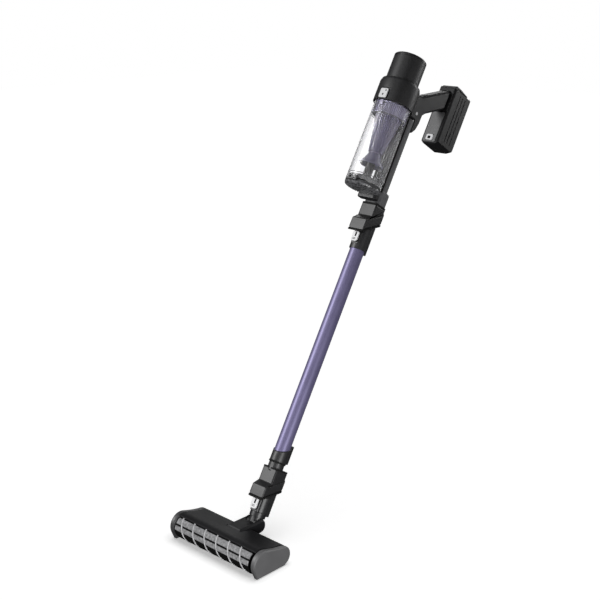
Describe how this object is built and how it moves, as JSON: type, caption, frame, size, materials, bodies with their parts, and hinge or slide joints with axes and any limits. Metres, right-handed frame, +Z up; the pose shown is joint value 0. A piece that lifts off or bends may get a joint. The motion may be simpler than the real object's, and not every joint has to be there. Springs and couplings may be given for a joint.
{
  "type": "cordless stick vacuum",
  "caption": "Upright stick vacuum with a clear cyclone dust cup, rear battery, slim tube and a soft-roller floor head that swivels and tilts.",
  "frame": {"origin": "centre of the lower face of the glide strip under the floor head", "axes": "+X across the floor head's width, -Y the way the head's roller faces, +Z up; the stick leans back toward +Y"},
  "size_m": [0.25, 0.8053, 0.9675],
  "materials": {
    "black_plastic": "satin moulded black",
    "grey_plastic": "satin dark grey",
    "white_plastic": "smooth white",
    "clear_plastic": "clear moulded polycarbonate",
    "purple_plastic": "tinted purple",
    "purple_tube": "anodised satin purple",
    "steel": "plain steel",
    "bright_metal": "plain light metal",
    "rubber": "matte black",
    "roller_pile": "short soft pile",
    "light_bristle": "light grey bristle strip",
    "felt": "dense dark felt",
    "filter_media": "pleated off-white",
    "circuit_board": "solder-masked board"
  },
  "bodies": {
    "handheld": {"main_collar": "black_plastic", "pre_filter": "filter_media", "motor_housing": "black_plastic", "motor_mount": "rubber", "suction_motor": "bright_metal", "exhaust_filter": "filter_media", "spine_duct": "black_plastic", "inlet_socket": "black_plastic", "handle_shell_left": "black_plastic", "handle_shell_right": "black_plastic", "battery_dock": "black_plastic", "control_board": "circuit_board", "trigger_spring": "steel", "cup_latch_spring": "steel"},
    "exhaust_lid": {"exhaust_cap": "black_plastic"},
    "impeller": {"impeller": "grey_plastic"},
    "trigger": {"trigger": "black_plastic"},
    "power_button": {"power_button": "grey_plastic"},
    "cup_latch": {"cup_latch": "white_plastic"},
    "dust_cup": {"dust_cup": "clear_plastic", "cup_hinge_pin": "steel", "cyclone_body": "purple_plastic", "cyclone_shroud": "purple_plastic", "cyclone_skirt": "purple_plastic", "fine_dust_tube": "black_plastic"},
    "cup_lid": {"cup_lid": "grey_plastic", "lid_seal": "rubber"},
    "lid_latch": {"lid_latch": "black_plastic"},
    "battery": {"battery_case": "black_plastic", "battery_face": "grey_plastic", "cell_block": "bright_metal", "charge_socket": "rubber", "battery_latch_spring": "steel"},
    "battery_latch": {"battery_latch": "white_plastic"},
    "wand": {"wand_tube": "purple_tube", "wand_foot_fitting": "black_plastic", "wand_top_fitting": "black_plastic", "wand_wire": "rubber", "wand_clip_spring": "steel"},
    "wand_clip": {"wand_clip": "white_plastic"},
    "neck": {"neck_tube": "black_plastic", "neck_clip_spring": "steel"},
    "neck_clip": {"neck_clip": "white_plastic"},
    "knuckle": {"neck_knuckle": "black_plastic"},
    "head": {"head_chassis": "black_plastic", "head_top_cover": "black_plastic", "pivot_yoke": "black_plastic", "sole_plate": "black_plastic", "felt_strip": "felt", "end_cap_right": "grey_plastic", "brush_motor": "bright_metal", "drive_belt": "rubber"},
    "end_cap_left": {"end_cap_left": "grey_plastic"},
    "roller": {"roller_tube": "black_plastic", "roller_nap": "roller_pile", "roller_fin_a": "light_bristle", "roller_fin_b": "light_bristle"},
    "motor_shaft": {"brush_motor_pulley": "steel"},
    "wheel_left": {"wheel_left": "rubber"},
    "wheel_right": {"wheel_right": "rubber"}
  },
  "joints": [
    {"name": "exhaust_cap_lift", "type": "slide", "parent": "handheld", "child": "exhaust_lid", "axis": [0, 0.515, 0.8572], "range_m": [0, 0.05]},
    {"name": "impeller_spin", "type": "hinge", "parent": "handheld", "child": "impeller", "pos_m": [0, 0.50954, 0.90289], "axis": [0, 0.515, 0.8572], "continuous": true},
    {"name": "trigger_pull", "type": "slide", "parent": "handheld", "child": "trigger", "axis": [0, -0.8572, 0.515], "range_m": [0, 0.003], "stiffness_N_per_m": 600, "springref_m": -0.002, "deforming": ["trigger_spring"]},
    {"name": "power_button_press", "type": "slide", "parent": "handheld", "child": "power_button", "axis": [0, 0.0436, -0.999], "range_m": [0, 0.0012], "stiffness_N_per_m": 600, "springref_m": -0.002},
    {"name": "cup_latch_press", "type": "slide", "parent": "handheld", "child": "cup_latch", "axis": [0, 0.8572, -0.515], "range_m": [0, 0.0012], "stiffness_N_per_m": 600, "springref_m": -0.002, "deforming": ["cup_latch_spring"]},
    {"name": "cup_release", "type": "slide", "parent": "handheld", "child": "dust_cup", "axis": [0, -0.8572, 0.515], "range_m": [0, 0.12]},
    {"name": "lid_hinge", "type": "hinge", "parent": "dust_cup", "child": "cup_lid", "pos_m": [0, 0.3489, 0.71825], "axis": [-1, 0, 0], "range_deg": [0, 90]},
    {"name": "lid_latch_press", "type": "slide", "parent": "cup_lid", "child": "lid_latch", "axis": [0, -0.515, -0.8572], "range_m": [0, 0.0015], "stiffness_N_per_m": 600, "springref_m": -0.002},
    {"name": "battery_release", "type": "slide", "parent": "handheld", "child": "battery", "axis": [0, -0.515, -0.8572], "range_m": [0, 0.14]},
    {"name": "battery_latch_press", "type": "slide", "parent": "battery", "child": "battery_latch", "axis": [0, 0.8572, -0.515], "range_m": [0, 0.0015], "stiffness_N_per_m": 600, "springref_m": -0.002, "deforming": ["battery_latch_spring"]},
    {"name": "wand_release", "type": "slide", "parent": "handheld", "child": "wand", "axis": [0, -0.515, -0.8572], "range_m": [0, 0.07]},
    {"name": "wand_clip_press", "type": "slide", "parent": "wand", "child": "wand_clip", "axis": [0, 0.8572, -0.515], "range_m": [0, 0.0015], "stiffness_N_per_m": 600, "springref_m": -0.002, "deforming": ["wand_clip_spring"]},
    {"name": "head_release", "type": "slide", "parent": "wand", "child": "neck", "axis": [0, -0.515, -0.8572], "range_m": [0, 0.06]},
    {"name": "neck_clip_press", "type": "slide", "parent": "neck", "child": "neck_clip", "axis": [0, 0.8572, -0.515], "range_m": [0, 0.0015], "stiffness_N_per_m": 600, "springref_m": -0.002, "deforming": ["neck_clip_spring"]},
    {"name": "neck_swivel", "type": "hinge", "parent": "neck", "child": "knuckle", "pos_m": [0, 0.0643, 0.05044], "axis": [0, 0.515, 0.8572], "range_deg": [-90, 90]},
    {"name": "head_tilt", "type": "hinge", "parent": "knuckle", "child": "head", "pos_m": [0, 0.054, 0.0333], "axis": [1, 0, 0], "range_deg": [-31, 55]},
    {"name": "roller_spin", "type": "hinge", "parent": "head", "child": "roller", "pos_m": [0, -0.0425, 0.0262], "axis": [1, 0, 0], "continuous": true},
    {"name": "brush_motor_spin", "type": "hinge", "parent": "head", "child": "motor_shaft", "pos_m": [0.09, 0, 0.025], "axis": [1, 0, 0], "continuous": true},
    {"name": "wheel_left_spin", "type": "hinge", "parent": "head", "child": "wheel_left", "pos_m": [-0.07, 0.0185, 0.008], "axis": [1, 0, 0], "continuous": true},
    {"name": "wheel_right_spin", "type": "hinge", "parent": "head", "child": "wheel_right", "pos_m": [0.07, 0.0185, 0.008], "axis": [1, 0, 0], "continuous": true},
    {"name": "end_cap_pull", "type": "slide", "parent": "head", "child": "end_cap_left", "axis": [-1, 0, 0], "range_m": [0, 0.05]}
  ],
  "couplings": [
    {"joint": "brush_motor_spin", "follows": "roller_spin", "ratio": 2}
  ]
}
